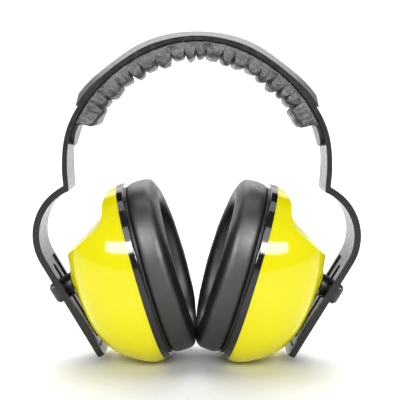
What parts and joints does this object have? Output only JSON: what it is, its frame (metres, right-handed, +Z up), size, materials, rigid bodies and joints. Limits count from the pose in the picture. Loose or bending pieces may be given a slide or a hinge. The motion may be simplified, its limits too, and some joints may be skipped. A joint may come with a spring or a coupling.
{
  "type": "earmuff hearing protector",
  "caption": "Over-the-head earmuffs: slotted band with padded crown, and two deep ear cups with soft cushions on ball-jointed sliders.",
  "frame": {"origin": "centre of the bounding box in X and Y, at the lowest point of the cups", "axes": "+X to one ear (named right), front towards -Y, +Z up to the crown"},
  "size_m": [0.1814, 0.0808, 0.1856],
  "materials": {
    "band_plastic": "black moulded plastic, satin, with fine grain",
    "carrier_plastic": "dark grey moulded plastic, satin",
    "pad_vinyl": "black vinyl-skinned foam, wrinkled, with a leathery sheen",
    "stud_plastic": "black acetal, smooth",
    "collar_plastic": "black moulded plastic, satin",
    "washer_plastic": "black nylon",
    "slider_plastic": "black acetal",
    "knob_plastic": "blue-grey moulded plastic, satin",
    "bushing_plastic": "natural acetal",
    "cup_plastic": "bright yellow ABS, polished",
    "retainer_plastic": "black ABS",
    "screw_steel": "zinc-plated steel",
    "ring_plastic": "black ABS, semi-gloss",
    "plate_plastic": "black plastic sheet",
    "cushion_vinyl": "black PVC skin, satin with a fine grain",
    "cushion_foam": "open-cell foam, pale",
    "liner_foam": "open-cell acoustic foam, charcoal"
  },
  "bodies": {
    "headband": {"headband": "band_plastic", "head_pad_carrier": "carrier_plastic", "head_pad": "pad_vinyl"},
    "right_carriage": {"right_ball_stud": "stud_plastic", "right_collar": "collar_plastic", "right_friction_washer": "washer_plastic", "right_slot_slider": "slider_plastic", "right_adjuster_knob": "knob_plastic"},
    "right_swivel": {"right_ball_bushing": "bushing_plastic"},
    "right_cup": {"right_cup_shell": "cup_plastic", "right_ball_retainer": "retainer_plastic", "right_retainer_screws": "screw_steel", "right_rim_ring": "ring_plastic", "right_cushion_plate": "plate_plastic", "right_cushion_skin": "cushion_vinyl", "right_cushion_foam": "cushion_foam", "right_foam_liner": "liner_foam"},
    "left_carriage": {"left_ball_stud": "stud_plastic", "left_collar": "collar_plastic", "left_friction_washer": "washer_plastic", "left_slot_slider": "slider_plastic", "left_adjuster_knob": "knob_plastic"},
    "left_swivel": {"left_ball_bushing": "bushing_plastic"},
    "left_cup": {"left_cup_shell": "cup_plastic", "left_ball_retainer": "retainer_plastic", "left_retainer_screws": "screw_steel", "left_rim_ring": "ring_plastic", "left_cushion_plate": "plate_plastic", "left_cushion_skin": "cushion_vinyl", "left_cushion_foam": "cushion_foam", "left_foam_liner": "liner_foam"}
  },
  "joints": [
    {"name": "right_height_slide", "type": "slide", "parent": "headband", "child": "right_carriage", "axis": [0.5075, 0, 0.8616], "range_m": [0, 0.011]},
    {"name": "right_cup_swivel", "type": "hinge", "parent": "right_carriage", "child": "right_swivel", "pos_m": [0.06261, 0, 0.0488], "axis": [0.5075, 0, 0.8616], "range_deg": [-4, 4]},
    {"name": "right_cup_tilt", "type": "hinge", "parent": "right_swivel", "child": "right_cup", "pos_m": [0.06261, 0, 0.0488], "axis": [0, -1, 0], "range_deg": [0, 1.5]},
    {"name": "left_height_slide", "type": "slide", "parent": "headband", "child": "left_carriage", "axis": [-0.5075, 0, 0.8616], "range_m": [0, 0.011]},
    {"name": "left_cup_swivel", "type": "hinge", "parent": "left_carriage", "child": "left_swivel", "pos_m": [-0.06261, 0, 0.0488], "axis": [-0.5075, 0, 0.8616], "range_deg": [-4, 4]},
    {"name": "left_cup_tilt", "type": "hinge", "parent": "left_swivel", "child": "left_cup", "pos_m": [-0.06261, 0, 0.0488], "axis": [0, 1, 0], "range_deg": [0, 1.5]}
  ]
}
